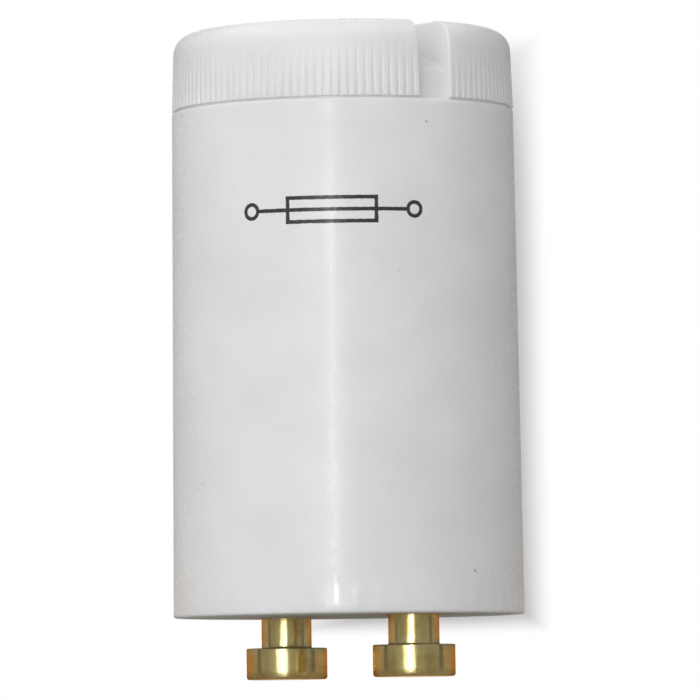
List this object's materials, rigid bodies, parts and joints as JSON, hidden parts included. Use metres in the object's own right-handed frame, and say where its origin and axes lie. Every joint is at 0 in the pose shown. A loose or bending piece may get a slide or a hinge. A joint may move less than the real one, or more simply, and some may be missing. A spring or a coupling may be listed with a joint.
{
  "type": "led tube starter",
  "caption": "Plug-in starter for a tube light fitting: drafted white can with a ribbed grip band and a screwdriver slot, and brass bayonet pins joined inside by a fuse.",
  "frame": {"origin": "centre of the base plate's underside, midway between the contact pins", "axes": "+Z from the base towards the slotted closed end, X through the contact pins, Y completes the right-handed set"},
  "size_m": [0.0214, 0.0214, 0.0396],
  "materials": {
    "can_plastic": "satin moulded, off-white",
    "plate_plastic": "satin moulded, pale grey",
    "pin_brass": "turned, bright",
    "fuse_glass": "clear tube",
    "cap_plating": "nickel plated",
    "fuse_wire": "drawn wire",
    "tinned_wire": "tinned",
    "solder": "set solder, bright"
  },
  "bodies": {
    "root": {"canister": "can_plastic", "base_plate": "plate_plastic", "contact_pin_right": "pin_brass", "contact_pin_left": "pin_brass", "fuse_tube": "fuse_glass", "fuse_end_cap_right": "cap_plating", "fuse_end_cap_left": "cap_plating", "fuse_element": "fuse_wire", "fuse_lead_right": "tinned_wire", "fuse_lead_left": "tinned_wire", "lead_solder_right": "solder", "lead_solder_left": "solder"}
  },
  "joints": []
}
